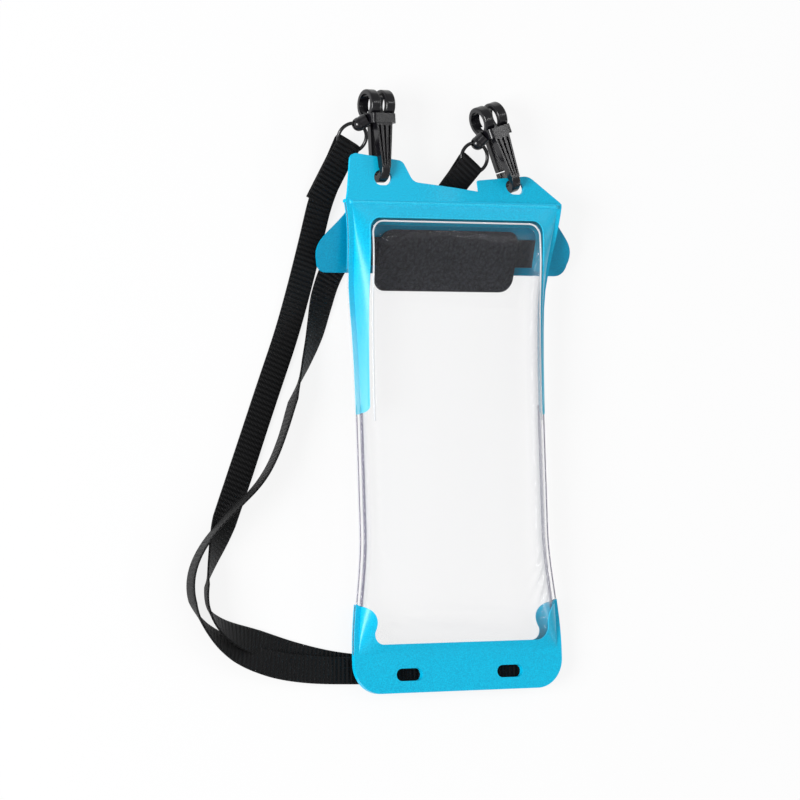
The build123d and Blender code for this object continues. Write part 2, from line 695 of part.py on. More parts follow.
def hooks():
    """The pieces of both hooks, in their places."""
    made = {}
    for number, side in enumerate(("left", "right")):
        place = hook_place(number)
        for piece in (hook_body, gate, gate_pin):
            made[f"{piece.__name__}_{side}"] = place * piece()
        made[f"swivel_{side}"] = place * swivel(number)
        made[f"ring_{side}"] = place * ring(number)
    return made


def strap():
    """The strap and the thread at each end."""
    made = {"neck_strap": neck_strap()}
    for number, side in enumerate(("left", "right")):
        made[f"strap_stitching_{side}"] = stitching(number)
    return made


def parts():
    """Every piece by its name, in the building frame."""
    return {
        "front_film": film(1),
        "rear_film": film(-1),
        "top_frame": top_frame(),
        "rear_top_frame": rear_top_frame(),
        "foot_frame_front": foot_frame(1),
        "foot_frame_rear": foot_frame(-1),
        "closure_flap": closure_flap(),
        "hook_strip": hook_strip(),
        "loop_strip": loop_strip(),
    } | hooks() | strap()


os.makedirs("parts", exist_ok=True)
for name, shape in parts().items():
    export_step(Pos(0, -BACK_CENTRE_Y, 0) * shape, f"parts/{name}.step")
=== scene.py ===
# %% [markdown]
# # A waterproof phone case with a neck strap
# The case is a puffed pouch of clear film. Its frames are a second, coloured film welded round the edges.
# Behind the mouth a flap folds down and holds with hook-and-loop tape. Two snap hooks join a flat webbing
# strap to the fin above the mouth. Everything here is in metres, lying on its back as it comes to rest.

import bmesh
import bpy
import numpy as np
from mathutils import Matrix, Vector


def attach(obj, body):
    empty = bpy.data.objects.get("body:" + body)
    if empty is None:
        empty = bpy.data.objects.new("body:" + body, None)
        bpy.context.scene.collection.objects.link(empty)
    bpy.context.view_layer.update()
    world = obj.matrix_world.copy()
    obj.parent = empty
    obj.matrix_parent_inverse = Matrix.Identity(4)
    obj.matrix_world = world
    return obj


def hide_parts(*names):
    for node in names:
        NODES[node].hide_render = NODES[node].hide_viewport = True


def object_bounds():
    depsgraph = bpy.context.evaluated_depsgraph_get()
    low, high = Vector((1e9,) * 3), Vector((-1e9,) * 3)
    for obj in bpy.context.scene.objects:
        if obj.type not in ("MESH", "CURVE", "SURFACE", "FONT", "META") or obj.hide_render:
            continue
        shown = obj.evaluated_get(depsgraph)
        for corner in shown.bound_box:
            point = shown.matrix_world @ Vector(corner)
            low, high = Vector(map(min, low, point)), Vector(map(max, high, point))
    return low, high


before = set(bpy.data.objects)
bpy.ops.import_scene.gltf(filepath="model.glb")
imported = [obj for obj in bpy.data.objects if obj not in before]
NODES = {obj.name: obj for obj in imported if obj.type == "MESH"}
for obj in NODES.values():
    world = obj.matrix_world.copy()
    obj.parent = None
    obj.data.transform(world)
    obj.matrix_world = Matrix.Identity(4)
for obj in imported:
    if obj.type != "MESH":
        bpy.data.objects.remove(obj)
CAD_BOX = [list(map(float, corner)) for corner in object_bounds()]
MM = 0.001
print("cad box", CAD_BOX)

# %% [markdown]
# ## The camera
# A long lens from the left and above, as in a shop photograph: 199 mm on a 36 mm sensor, about 1.6 m away.
# The case's length runs up the picture, with a small roll.

# %% Camera
CAMERA_AT = Vector((-0.8605, -0.0642, 1.4061))
LOOK_AT = Vector((-0.02226, 0.02106, 0.006))
CAMERA_ROLL = -0.03185

forward = (LOOK_AT - CAMERA_AT).normalized()
right = forward.cross(Vector((0, 1, 0))).normalized()
up = right.cross(forward)
turned_right = right * np.cos(CAMERA_ROLL) + up * np.sin(CAMERA_ROLL)
turned_up = up * np.cos(CAMERA_ROLL) - right * np.sin(CAMERA_ROLL)
camera_data = bpy.data.cameras.new("camera")
camera_data.lens = 199.35
camera_data.sensor_width = 36
camera_data.clip_start = 0.05
camera = bpy.data.objects.new("camera", camera_data)
bpy.context.collection.objects.link(camera)
turn = Matrix((turned_right, turned_up, -forward)).transposed().to_4x4()
camera.matrix_world = Matrix.Translation(CAMERA_AT) @ turn
bpy.context.scene.camera = camera

# %% [markdown]
# ## Nodes and colours
# One function adds a node with its settings and links. One turns a hex colour to linear light.

# %% Helpers for materials
def linear(code):
    """sRGB hex to linear: c/12.92 below 0.04045, else ((c + 0.055)/1.055)^2.4."""
    c = np.array([int(code[i : i + 2], 16) / 255 for i in (1, 3, 5)])
    return (*np.where(c <= 0.04045, c / 12.92, ((c + 0.055) / 1.055) ** 2.4), 1.0)


def node(material, kind, settings=None, **links):
    """Adds a node of a kind. settings are attributes or input values, links are inputs fed by sockets."""
    made = material.node_tree.nodes.new(kind)
    for key, value in (settings or {}).items():
        if isinstance(key, int) or key in made.inputs:
            made.inputs[key].default_value = value
        else:
            setattr(made, key, value)
    for key, socket in links.items():
        target = made.inputs[int(key[1:])] if key[1:].isdigit() else made.inputs[key.replace("_", " ")]
        material.node_tree.links.new(socket, target)
    return made


def new_material(name, settings=None):
    """An empty node material with its output and a principled shader that has these settings, joined."""
    material = bpy.data.materials.new(name)
    material.use_nodes = True
    material.node_tree.nodes.clear()
    shader = node(material, "ShaderNodeBsdfPrincipled", settings)
    node(material, "ShaderNodeOutputMaterial", Surface=shader.outputs[0])
    return material, shader


def wire(material, source, shader, socket):
    """Feeds one socket of the shader."""
    material.node_tree.links.new(source, shader.inputs[socket])


def mixed(material, share, first, second):
    """A colour between two, by a share from 0 to 1. Each is a hex colour or another node's socket."""
    mix = node(material, "ShaderNodeMix", {"data_type": "RGBA"}, _0=share)
    for slot, colour in ((6, first), (7, second)):
        if isinstance(colour, str):
            mix.inputs[slot].default_value = linear(colour)
        else:
            material.node_tree.links.new(colour, mix.inputs[slot])
    return mix.outputs[2]


def object_place(material):
    """Each point's place in metres. Every piece stands at the origin, so they share one pattern space."""
    return node(material, "ShaderNodeTexCoord").outputs["Object"]


def noise(material, place, scale, detail):
    """Noise from 0 to 1. The scale is its waves a metre."""
    settings = {"Scale": scale, "Detail": detail}
    return node(material, "ShaderNodeTexNoise", settings, Vector=place).outputs[0]


def spread(material, value, start, end, low=0.0, high=1.0):
    """Stretches the span from start to end over low to high, and stops there."""
    settings = {"From Min": start, "From Max": end, "To Min": low, "To Max": high}
    return node(material, "ShaderNodeMapRange", settings, Value=value).outputs[0]


def maths(material, operation, *terms, clamp=False):
    """One operation on sockets and numbers."""
    made = node(material, "ShaderNodeMath", {"operation": operation, "use_clamp": clamp})
    for slot, term in enumerate(terms):
        if isinstance(term, (int, float)):
            made.inputs[slot].default_value = term
        else:
            material.node_tree.links.new(term, made.inputs[slot])
    return made.outputs[0]


def bumped(material, height, shader, strength, distance):
    """Bump from a height, with the depth in metres."""
    bump = node(material, "ShaderNodeBump", {"Strength": strength, "Distance": distance}, Height=height)
    wire(material, bump.outputs[0], shader, "Normal")


# %% [markdown]
# ## The frame's film
# Soft thermoplastic polyurethane, dyed turquoise and calendered with a fine sandy grain of about half a
# millimetre. The grain scatters light, so highlights are broad, and the colour drifts a little over each
# sheet. Where the frame's arms are a single film, they let a little of the light behind them through towards
# their lower ends, and there they are painted paler, a painted glow of that light.

# %% Turquoise film
GRAIN_MM = 0.45
DYE = ("#00B2DC", "#04C4EA", "#00A4CE")
PAINTED_BACKLIGHT_PALE = "#66DEF8"
ARM_LOW_M, ARM_SOLID_M, ARM_OPACITY = 0.02, 0.072, 0.62


def grained_film(name, base, lit, dark, roughness=0.33, single=False):
    """Dyed film. A single film is partly clear at the low end of the arms, painted pale there as a glow of
    light from behind, and solid higher up.
    """
    settings = {"Roughness": roughness, "IOR": 1.5, "Specular IOR Level": 0.12}
    gloss = {"Coat Weight": 0.4, "Coat Roughness": 0.3}
    material, shader = new_material(name, {**settings, **gloss})
    place = object_place(material)
    grain = noise(material, place, 1000 / GRAIN_MM, 2.0)
    cloudy = mixed(material, noise(material, place, 28.0, 2.0), dark, base)
    colour = mixed(material, spread(material, grain, 0.35, 0.65), cloudy, lit)
    if single:
        height = node(material, "ShaderNodeSeparateXYZ", Vector=place).outputs[1]
        solid = spread(material, height, ARM_LOW_M, ARM_SOLID_M)
        wire(material, spread(material, solid, 0.0, 1.0, ARM_OPACITY), shader, "Alpha")
        # Painted light: the arms' low ends blend to a pale colour that stands in for light shining through
        # them.
        colour = mixed(material, solid, PAINTED_BACKLIGHT_PALE, colour)
    wire(material, colour, shader, "Base Color")
    bumped(material, grain, shader, 0.35, 0.00012)
    return material


TURQUOISE = grained_film("turquoise_tpu_film", *DYE)
ARM_FILM = grained_film("turquoise_tpu_single_film", *DYE, single=True)
# The flap is the frames' film in darker colours: painted shade.
FLAP_FILM_PAINTED_SHADE = grained_film("turquoise_tpu_flap_painted_shade", "#0094BC", "#00A2CA", "#0088AE")

# %% [markdown]
# ## The clear film
# The same polyurethane without dye, 0.5 mm thick and glossy. Seen flat on, it barely shows. At a slant it
# turns milky and mirrors the lamps, so its opacity grows with the angle; its darker grey-violet there is a
# painted reflection.

# %% Clear film
def clear_film():
    settings = {"Roughness": 0.06, "IOR": 1.5, "Coat Weight": 1.0, "Coat Roughness": 0.03}
    material, shader = new_material("clear_glossy_tpu_film", settings)
    slant = node(material, "ShaderNodeLayerWeight", {"Blend": 0.2}).outputs["Facing"]
    wire(material, spread(material, slant, 0.07, 1.0, 0.01, 0.95), shader, "Alpha")
    # Painted reflection: the colour turns a darker grey-violet where the film is seen at a slant.
    wire(material, mixed(material, slant, "#D8DCE6", "#78758E"), shader, "Base Color")
    bumped(material, noise(material, object_place(material), 35.0, 1.5), shader, 0.12, 0.001)
    return material


CLEAR = clear_film()

# %% [markdown]
# ## Moulded black plastic
# The hooks are injection-moulded acetal: smooth, black, with soft long highlights and a faint orange-peel.
# The wire and the pins take the same pattern in their own colours.

# %% Black plastic and metal
def moulded(name, colour, roughness, metallic=0.0):
    material, shader = new_material(name, {"Metallic": metallic})
    place = object_place(material)
    peel = noise(material, place, 900.0, 2.0)
    cloud = noise(material, place, 120.0, 1.0)
    wire(material, mixed(material, peel, colour, "#121214"), shader, "Base Color")
    shade = spread(material, cloud, 0.0, 1.0, roughness * 0.8, roughness * 1.3)
    wire(material, shade, shader, "Roughness")
    bumped(material, peel, shader, 0.07, 0.00006)
    return material


ACETAL = moulded("black_moulded_acetal", "#0B0910", 0.2)
RING_WIRE = moulded("black_coated_steel_wire", "#101012", 0.2)
PIN_STEEL = moulded("darkened_steel_pin", "#4A4A4C", 0.3, 1.0)

# %% [markdown]
# ## Webbing, thread and tape
# The strap is polyester grosgrain, 10 mm wide. Its ribs run across it, about 1.8 mm apart, with a fine
# thread grain on each. The ribs follow the piece's own UV map, whose unit is a metre along the strap.

# %% Woven and pile materials
RIB_MM = 1.8
THREAD_MM = 0.6


def wave(material, metres, pitch_mm):
    """A sine with this pitch along a coordinate in metres."""
    return maths(material, "SINE", maths(material, "MULTIPLY", metres, 2 * np.pi * 1000 / pitch_mm))


def webbing_material():
    settings = {"Roughness": 0.55, "Specular IOR Level": 0.2, "Sheen Weight": 0.03, "Sheen Roughness": 0.4}
    material, shader = new_material("black_polyester_webbing", settings)
    place = node(material, "ShaderNodeUVMap", {"uv_map": "along"})
    parts = node(material, "ShaderNodeSeparateXYZ", Vector=place.outputs[0])
    small = maths(material, "MULTIPLY", wave(material, parts.outputs[1], THREAD_MM), 0.35)
    height = maths(material, "ADD", wave(material, parts.outputs[0], RIB_MM), small)
    # Painted shade and highlight: the colour follows rib height, lighter on the ribs and darker in the
    # grooves.
    share = spread(material, height, -1.3, 1.3)
    wire(material, mixed(material, share, "#010102", "#0B0B0D"), shader, "Base Color")
    bumped(material, height, shader, 0.8, 0.00022)
    return material


def pile(name, low, high, cell_mm, depth):
    """Loop or hook tape: small tufts as a cell pattern, with a finer fuzz on top."""
    material, shader = new_material(name, {"Roughness": 0.85, "Sheen Weight": 0.15})
    place = object_place(material)
    tufts = node(material, "ShaderNodeTexVoronoi", {"Scale": 1000 / cell_mm}, Vector=place)
    fuzz = noise(material, place, 2600.0, 3.0)
    height = maths(material, "SUBTRACT", fuzz, tufts.outputs["Distance"])
    # Painted shade and highlight: the colour follows pile height, paler on the tufts and darker between them.
    share = spread(material, height, -0.35, 0.5)
    wire(material, mixed(material, share, low, high), shader, "Base Color")
    bumped(material, height, shader, 0.9, depth)
    return material


WEBBING = webbing_material()
HOOK_TAPE = pile("black_nylon_hook_tape", "#040405", "#242428", 1.6, 0.0006)
LOOP_TAPE = pile("black_brushed_loop_tape", "#000001", "#3E3E46", 1.3, 0.0006)
THREAD = pile("black_sewing_thread", "#060607", "#18181A", 0.5, 0.0002)

# %% [markdown]
# ## Smooth copies of the moulded and cut pieces
# The frame's own nodes are loose triangles. A copy that is welded and shaded smooth shows the real rounded
# forms, and it stands exactly where the node does. Edges stay sharp above 32 degrees, above 40 on the films
# of the frames, and above 60 on the thin rings.

# %% Copies of the nodes
WELD_DISTANCE = 1e-6
FILM_ANGLE, RING_ANGLE = 40.0, 60.0


def stand_in(name, material, body, angle=32.0):
    """A welded, smooth-shaded copy of a node at the same place."""
    source = NODES[name]
    mesh = bpy.data.meshes.new(f"{name}_skin")
    work = bmesh.new()
    work.from_mesh(source.data)
    bmesh.ops.remove_doubles(work, verts=work.verts, dist=WELD_DISTANCE)
    for edge in work.edges:
        edge.smooth = len(edge.link_faces) == 2 and bool(edge.calc_face_angle(3.0) < np.radians(angle))
    work.to_mesh(mesh)
    work.free()
    mesh.polygons.foreach_set("use_smooth", np.ones(len(mesh.polygons), bool))
    mesh.materials.append(material)
    piece = bpy.data.objects.new(f"{name}_skin", mesh)
    bpy.context.collection.objects.link(piece)
    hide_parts(name)
    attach(piece, body)
    return piece


stand_in("top_frame", ARM_FILM, "case", FILM_ANGLE)
for name in ("rear_top_frame", "foot_frame_front", "foot_frame_rear"):
    stand_in(name, TURQUOISE, "case", FILM_ANGLE)
stand_in("closure_flap", FLAP_FILM_PAINTED_SHADE, "case")
stand_in("hook_strip", HOOK_TAPE, "case")
stand_in("loop_strip", LOOP_TAPE, "case")
for side in ("left", "right"):
    stand_in(f"hook_body_{side}", ACETAL, "case")
    stand_in(f"swivel_{side}", ACETAL, "case")
    stand_in(f"gate_{side}", ACETAL, f"gate_{side}")
    stand_in(f"gate_pin_{side}", PIN_STEEL, "case")
    stand_in(f"ring_{side}", RING_WIRE, "case", RING_ANGLE)

# %% [markdown]
# ## The film's own surface
# Each film is worked out on a grid. One direction runs along the case, the other from weld to weld across it:
# a flat weld, a rounded shoulder, the flat middle, and the same again. The shoulder is a cubic curve that
# leaves the weld upright and ends level. The film keeps small creases where it is pinched beside the foot.

# %% Pouch shape
BACK_CENTRE_Y = 86.804
CREASE_Y, FLANGE_Y, LIFT_Y = 180.0, 14.5, 142.108
CREASE_HALF, WAIST_HALF, FOOT_HALF = 46.8, 41.0, 45.0
SEAM_Z, CREASE_SEAM_Z, PUFF_Z, FILM, WELD = 5.0, 12.5, 15.5, 0.5, 2.5
FLAP_RISE, FLAP_RUN, STRIP_TOP_Y = 9.1, 25.0, 170.6
FOOT_RUN, HEEL_RUN, SEAM_RUN, FALL_RUN = 45, 17, 37, 30
MOUTH_POWER, SWELL_POWER = 2.8, 2.5
FRONT_SHOULDER, REAR_SHOULDER, SHOULDER_PULL = 11, 6, 0.55


def smooth(start, end, at):
    """A share from 0 to 1 that is level at both ends: 3t^2 - 2t^3."""
    t = np.clip((at - start) / (end - start), 0, 1)
    return t * t * (3 - 2 * t)


def half_width(y):
    """Wide foot, narrow waist, and a mouth that widens as a power of the height."""
    foot = 1 - smooth(FLANGE_Y, FLANGE_Y + FOOT_RUN, y)
    mouth = np.clip(2 * y / CREASE_Y - 1, 0, None) ** MOUTH_POWER
    return WAIST_HALF + (FOOT_HALF - WAIST_HALF) * foot + (CREASE_HALF - WAIST_HALF) * mouth


def seam_z(y):
    """The side welds lie level and climb to the crease."""
    return SEAM_Z + (CREASE_SEAM_Z - SEAM_Z) * smooth(CREASE_Y - SEAM_RUN, CREASE_Y, y)


def front_z(y):
    """Puffs up from the foot, stays level, and falls to the crease as a square."""
    swell = 1 - (1 - np.clip((y - FLANGE_Y) / FOOT_RUN, 0, 1)) ** SWELL_POWER
    low = SEAM_Z + FILM
    fall = np.clip((y - CREASE_Y + FALL_RUN) / FALL_RUN, 0, None) ** 2
    return low + (PUFF_Z - low) * swell - (PUFF_Z - CREASE_SEAM_Z - FILM) * fall


def rear_z(y):
    """Falls from the foot to the ground, lies flat, then climbs over the folded flap to the crease."""
    slope = FLAP_RISE / FLAP_RUN
    foot = (SEAM_Z - FILM) * (1 - smooth(FLANGE_Y, FLANGE_Y + HEEL_RUN, y))
    climb = (np.minimum(y, STRIP_TOP_Y) - LIFT_Y) * slope
    end = (STRIP_TOP_Y - LIFT_Y) * slope
    last = np.clip((y - STRIP_TOP_Y) / (CREASE_Y - STRIP_TOP_Y), 0, 1) * (CREASE_SEAM_Z - FILM - end)
    return np.where(y <= LIFT_Y, foot, climb + last)


def film_grid(side, depth, rows=220, shoulder_steps=16, flat_steps=36):
    """Points of one film, depth mm inside its outer face. side is 1 for the front and -1 for the rear."""
    y = np.linspace(FLANGE_Y, CREASE_Y, rows)[:, None]
    width, seam = half_width(y), seam_z(y)
    far = (front_z(y) if side > 0 else rear_z(y)) - side * depth
    foot = seam + side * (FILM - depth)
    root = width - WELD - depth
    flat = width - WELD - (FRONT_SHOULDER if side > 0 else REAR_SHOULDER)
    u = np.linspace(0, 1, shoulder_steps)[None, :]
    k = SHOULDER_PULL
    b = [(1 - u) ** 3, 3 * u * (1 - u) ** 2, 3 * u**2 * (1 - u), u**3]
    x = b[0] * root + b[1] * root + b[2] * (flat + (1 - k) * (root - flat)) + b[3] * flat
    z = b[0] * foot + b[1] * (foot + k * (far - foot)) + b[2] * far + b[3] * far
    middle = np.linspace(1, -1, flat_steps)[None, 1:-1]
    xs = np.concatenate([width, x, flat * middle, -x[:, ::-1], -width], axis=1)
    zs = np.concatenate([foot, z, far + 0 * middle, z[:, ::-1], foot], axis=1)
    return np.stack([xs, y + 0 * xs, zs], axis=2)


# %% Film shells
# Each crease: centre x and y, radii, depth and wave length in mm, then the waves' lean in radians.
CREASES = [
    (-36, 44, 7, 11, 0.4, 4.2, 0.45),
    (-34, 36, 6, 6, 0.28, 4.0, 1.0),
    (36, 40, 6, 10, 0.4, 4.2, -0.5),
    (-32, 30, 8, 6, 0.35, 4.6, 1.2),
    (0, 26, 30, 6, 0.2, 9.0, 1.45),
]
SLACK_DEPTH, INNER_DEPTH, SHARP_ANGLE = 0.1, 0.9, 40


def creases(grid):
    """How far the film dips at each point: waves under a bell-shaped envelope, and a broad slack wave."""
    x, y = grid[..., 0], grid[..., 1]
    dip = SLACK_DEPTH * (1 + np.sin(x / 9 + np.sin(y / 17)) * np.sin(y / 13))
    for cx, cy, rx, ry, deep, wave, lean in CREASES:
        bell = np.exp(-(((x - cx) / rx) ** 2) - ((y - cy) / ry) ** 2)
        across = x * np.cos(lean) + y * np.sin(lean) + 0.6 * np.sin(y / 5)
        dip = dip + deep * bell * (1 + np.sin(2 * np.pi * across / wave))
    rows = np.linspace(0, 1, grid.shape[0])[:, None]
    cols = np.linspace(0, 1, grid.shape[1])[None, :]
    return dip * smooth(0, 0.03, np.minimum(rows, 1 - rows)) * smooth(0.02, 0.12, np.minimum(cols, 1 - cols))


def grid_quads(rows, cols, start=0):
    """The corner numbers of each square in a grid of points."""
    row, col = np.meshgrid(np.arange(rows - 1), np.arange(cols - 1), indexing="ij")
    corner = start + row * cols + col
    return np.stack([corner, corner + 1, corner + cols + 1, corner + cols], axis=-1).reshape(-1, 4)


def shell_mesh(name, outer, inner, flip):
    """Two grids joined by a rim round all four sides, as one closed sheet."""
    rows, cols = outer.shape[:2]
    count = rows * cols
    top = grid_quads(rows, cols)
    low = grid_quads(rows, cols, count)[:, ::-1]
    loop = np.concatenate(
        [
            np.arange(cols),
            np.arange(1, rows) * cols + cols - 1,
            (rows - 1) * cols + np.arange(cols - 2, -1, -1),
            np.arange(rows - 2, 0, -1) * cols,
        ]
    )
    ahead = np.roll(loop, -1)
    rim = np.stack([loop, loop + count, ahead + count, ahead], axis=1)
    faces = np.vstack([top, low, rim])
    points = np.vstack([outer.reshape(-1, 3), inner.reshape(-1, 3)]) * MM
    points[:, 1] -= BACK_CENTRE_Y * MM
    mesh = bpy.data.meshes.new(name)
    mesh.from_pydata(points.tolist(), [], (faces[:, ::-1] if flip else faces).tolist())
    mesh.polygons.foreach_set("use_smooth", np.ones(len(mesh.polygons), bool))
    work = bmesh.new()
    work.from_mesh(mesh)
    bmesh.ops.recalc_face_normals(work, faces=work.faces)
    for edge in work.edges:
        edge.smooth = bool(edge.calc_face_angle(0.0) < np.radians(SHARP_ANGLE))
    work.to_mesh(mesh)
    work.free()
    piece = bpy.data.objects.new(name, mesh)
    bpy.context.collection.objects.link(piece)
    return piece


def film_piece(name, node_name, side):
    """One clear film as a closed sheet. Only the front one is creased, along its own normals."""
    outer, inner = film_grid(side, 0.0), film_grid(side, FILM * INNER_DEPTH)
    if side > 0:
        along = np.gradient(outer, axis=0)
        over = np.gradient(outer, axis=1)
        normal = np.cross(over, along)
        normal /= np.linalg.norm(normal, axis=2)[..., None]
        normal *= np.sign(normal[..., 2:3].mean())
        push = normal * creases(outer)[..., None]
        outer, inner = outer - push, inner - push
    piece = shell_mesh(name, outer, inner, side < 0)
    piece.data.materials.append(CLEAR)
    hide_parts(node_name)
    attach(piece, "case")
    print(name, len(piece.data.polygons))


film_piece("front_clear_film", "front_film", 1)
film_piece("rear_clear_film", "rear_film", -1)

# %% [markdown]
# ## A section carried along a path
# Webbing and welds share one idea: a closed flat oval, a superellipse of power 4, stands on every point of a
# path, and the points are joined into a closed skin. The UV map counts metres along it, for woven ribs.

# %% Section along a path
SECTION_STEPS = 20


def tube_mesh(name, points, wide, thick, half_width, half_thick, material, u_start=0.0):
    """A superellipse section of power 4 on each point, closed at both ends, with UVs in metres."""
    angle = np.linspace(0, 2 * np.pi, SECTION_STEPS, endpoint=False)
    c, s = np.cos(angle), np.sin(angle)
    across = np.sign(c) * np.abs(c) ** 0.5 * half_width
    over = np.sign(s) * np.abs(s) ** 0.5 * half_thick
    grid = points[:, None] + wide[:, None] * across[None, :, None] + thick[:, None] * over[None, :, None]
    n, m = len(points), SECTION_STEPS
    row, col = np.meshgrid(np.arange(n - 1), np.arange(m), indexing="ij")
    here, nxt = row * m, (col + 1) % m
    quads = np.stack([here + col, here + nxt, here + m + nxt, here + m + col], axis=-1).reshape(-1, 4)
    mesh = bpy.data.meshes.new(name)
    faces = quads.tolist() + [list(range(m))[::-1], list(range((n - 1) * m, n * m))]
    mesh.from_pydata(grid.reshape(-1, 3).tolist(), [], faces)
    gone = np.concatenate([[0], np.cumsum(np.linalg.norm(np.diff(points, axis=0), axis=1))]) + u_start
    layer = mesh.uv_layers.new(name="along")
    index = np.empty(len(mesh.loops), int)
    mesh.loops.foreach_get("vertex_index", index)
    uv = np.stack([gone[index // m], across[index % m]], axis=1)
    layer.data.foreach_set("uv", uv.ravel())
    mesh.polygons.foreach_set("use_smooth", np.ones(len(mesh.polygons), bool))
    work = bmesh.new()
    work.from_mesh(mesh)
    bmesh.ops.recalc_face_normals(work, faces=work.faces)
    work.to_mesh(mesh)
    work.free()
    mesh.materials.append(material)
    piece = bpy.data.objects.new(name, mesh)
    bpy.context.collection.objects.link(piece)
    return piece


# %% [markdown]
# ## Welded edges
# A weld presses two films into one, and its edge stands up as a glossier line: a bead along the crease, and
# a thin lip round the window. Their paler turquoise is a painted highlight. Each is a flat oval section
# carried along its path.

# %% Pale edges of the welds, a painted highlight
# Painted highlight: the weld beads take a paler turquoise than the frames.
PAINTED_HIGHLIGHT_WELD_EDGE = grained_film("turquoise_tpu_weld_edge_painted_highlight", "#14BCE4", "#2CCCF0", "#08B0D8", roughness=0.3)
CREASE_WELD_HALF, CREASE_WELD_LIFT = 45.6, 1.05


def bead(name, x, y, z, half_width, half_height, material):
    """A flat oval section carried along points in building millimetres."""
    points = np.stack([x, y - BACK_CENTRE_Y, z], axis=1) * MM
    along = np.gradient(points, axis=0)
    along /= np.linalg.norm(along, axis=1)[:, None]
    wide = np.cross([0.0, 0.0, 1.0], along)
    wide /= np.linalg.norm(wide, axis=1)[:, None]
    piece = tube_mesh(name, points, wide, np.cross(along, wide), half_width * MM, half_height * MM, material)
    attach(piece, "case")


x = np.linspace(-CREASE_WELD_HALF, CREASE_WELD_HALF, 60)
crease_z = CREASE_SEAM_Z + CREASE_WELD_LIFT
bead("crease_weld", x, CREASE_Y + 0 * x, crease_z + 0 * x, 0.65, 0.3, PAINTED_HIGHLIGHT_WELD_EDGE)

# %% [markdown]
# The window's edge goes up the left arm, round its corner by a quarter circle, across below the crease, and
# down the right arm. Its height is read from the film's own grid.

# %% Edge of the window
WINDOW_HALF, WINDOW_DROP, CORNER_R = 37.7, 5.3, 4.5
ARM_END_Y = 105.5


def window_edge(inset, low):
    """x and y of the window's edge, moved inwards by an inset, with both sides ending at a low y."""
    half, top = WINDOW_HALF - inset, CREASE_Y - WINDOW_DROP - inset
    side = np.linspace(low, top - CORNER_R, 70)
    arc = np.radians(np.linspace(180, 90, 14))[1:-1]
    level = np.linspace(-half + CORNER_R, 0, 30)
    x = np.concatenate([0 * side - half, -half + CORNER_R * (1 + np.cos(arc)), level])
    y = np.concatenate([side, top + CORNER_R * (np.sin(arc) - 1), 0 * level + top])
    return np.concatenate([x, -x[-2::-1]]), np.concatenate([y, y[-2::-1]])


def film_height(x, y):
    """Height of the front film at each x, between the two nearest points in the grid row nearest to y."""
    grid = film_grid(1, 0.0, rows=600)
    row = grid[np.argmin(np.abs(grid[:, 0, 1] - y[:, None]), axis=1)]
    after = (row[..., 0] > x[:, None]).sum(axis=1)
    a, b = row[np.arange(len(x)), after - 1], row[np.arange(len(x)), after]
    return a[:, 2] + (b[:, 2] - a[:, 2]) * (a[:, 0] - x) / (a[:, 0] - b[:, 0])


x, y = window_edge(0.0, ARM_END_Y)
bead("window_weld_edge", x, y, film_height(x, y) + FILM, 0.3, 0.16, PAINTED_HIGHLIGHT_WELD_EDGE)

# %% [markdown]
# ### Lines in the clear film
# Just inside the window the clear film bends sharply, and the thin bright line the lamps make there is a
# painted
# highlight: a near-white bead. Where it leaves its side welds it is doubled, and that edge looks smoky, as
# does the weld's outer rim.

# %% Clear rim and side welds
def clear_line(name, colour, alpha):
    settings = {"Base Color": linear(colour), "Alpha": alpha, "Roughness": 0.08, "Coat Weight": 1.0}
    return new_material(name, settings)[0]


# Painted highlight: a near-white bead stands in for the lamps' reflection on the film's bend.
PAINTED_HIGHLIGHT_RIM = clear_line("painted_highlight_film_rim", "#F4F8FC", 0.7)
SMOKY = clear_line("smoky_film_weld", "#86829A", 0.6)
FOOT_ARM_Y = 29.0
x, y = window_edge(1.4, 100.0)
bead("clear_film_painted_highlight_rim", x, y, film_height(x, y) + 0.05, 0.32, 0.2, PAINTED_HIGHLIGHT_RIM)
y = np.linspace(FOOT_ARM_Y, ARM_END_Y + 0.5, 64)
for side, sign in (("left", -1), ("right", 1)):
    for edge, inset, half in (("weld", WELD - 0.2, 0.5), ("rim", 0.3, 0.24)):
        x = sign * (half_width(y) - inset)
        bead(f"side_{edge}_{side}", x, y, seam_z(y) + 0.6, half, half * 0.8, SMOKY)

# %% [markdown]
# ## The neck strap
# One flat cord. Its middle runs on a smooth NURBS line within 6 mm of the frame's solid. A roll at each point
# stands it on edge where it turns, as real webbing does. The mesh carries a flat oval along it.

# %% Route of the strap
STRAP_WIDTH, STRAP_THICK = 10.0, 1.0
STRAP_SECTION = (STRAP_WIDTH / 2 * MM, STRAP_THICK / 2 * MM)
